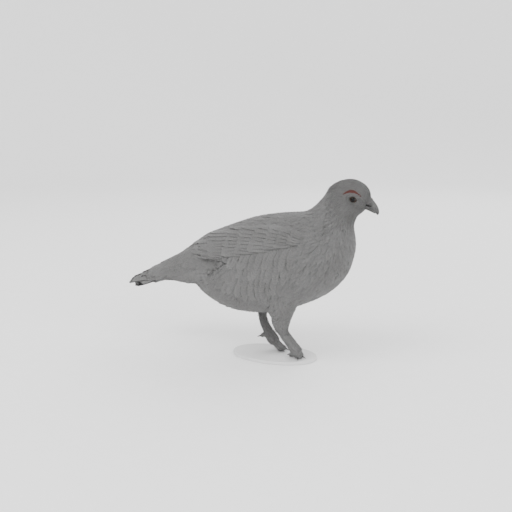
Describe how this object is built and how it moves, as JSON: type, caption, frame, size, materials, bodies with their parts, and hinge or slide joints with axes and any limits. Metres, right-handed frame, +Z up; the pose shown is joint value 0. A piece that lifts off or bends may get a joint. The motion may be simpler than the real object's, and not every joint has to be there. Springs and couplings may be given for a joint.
{
  "type": "rock ptarmigan, life-size still model on a plain base",
  "caption": "Life-size still model of a rock ptarmigan in grey autumn plumage, walking with one foot ahead, feathers built in tiers, on a thin plain oval base.",
  "frame": {"origin": "on the floor under the middle of the model's length, under the base", "axes": "+X forward towards the bill, +Y to the bird's left, +Z up"},
  "size_m": [0.3155, 0.1124, 0.2141],
  "materials": {
    "grey_plumage": "matt grey feathers, finely vermiculated with darker bars",
    "leg_feathering": "soft pale grey hair-like feathering",
    "dark_tail_feathers": "dark grey tail feathers with thin pale tips, slight sheen",
    "bill_horn": "dark slate horn, satin",
    "claw_horn": "dark horn, satin",
    "eye_surface": "dark brown, wet gloss",
    "comb_skin": "muted red warty bare skin, matt",
    "base_paint": "plain pale matt paint"
  },
  "bodies": {
    "root": {"head": "grey_plumage", "neck": "grey_plumage", "torso": "grey_plumage", "tail_coverts": "grey_plumage", "tail": "dark_tail_feathers", "undertail": "grey_plumage", "bill_upper": "bill_horn", "bill_lower": "bill_horn", "stand_base": "base_paint", "eye_left": "eye_surface", "comb_left": "comb_skin", "wing_left": "grey_plumage", "thigh_left": "grey_plumage", "shank_left": "leg_feathering", "foot_left": "leg_feathering", "claw_left_1": "claw_horn", "claw_left_2": "claw_horn", "claw_left_3": "claw_horn", "claw_left_4": "claw_horn", "eye_right": "eye_surface", "comb_right": "comb_skin", "wing_right": "grey_plumage", "thigh_right": "grey_plumage", "shank_right": "leg_feathering", "foot_right": "leg_feathering", "claw_right_1": "claw_horn", "claw_right_2": "claw_horn", "claw_right_3": "claw_horn", "claw_right_4": "claw_horn"}
  },
  "joints": []
}
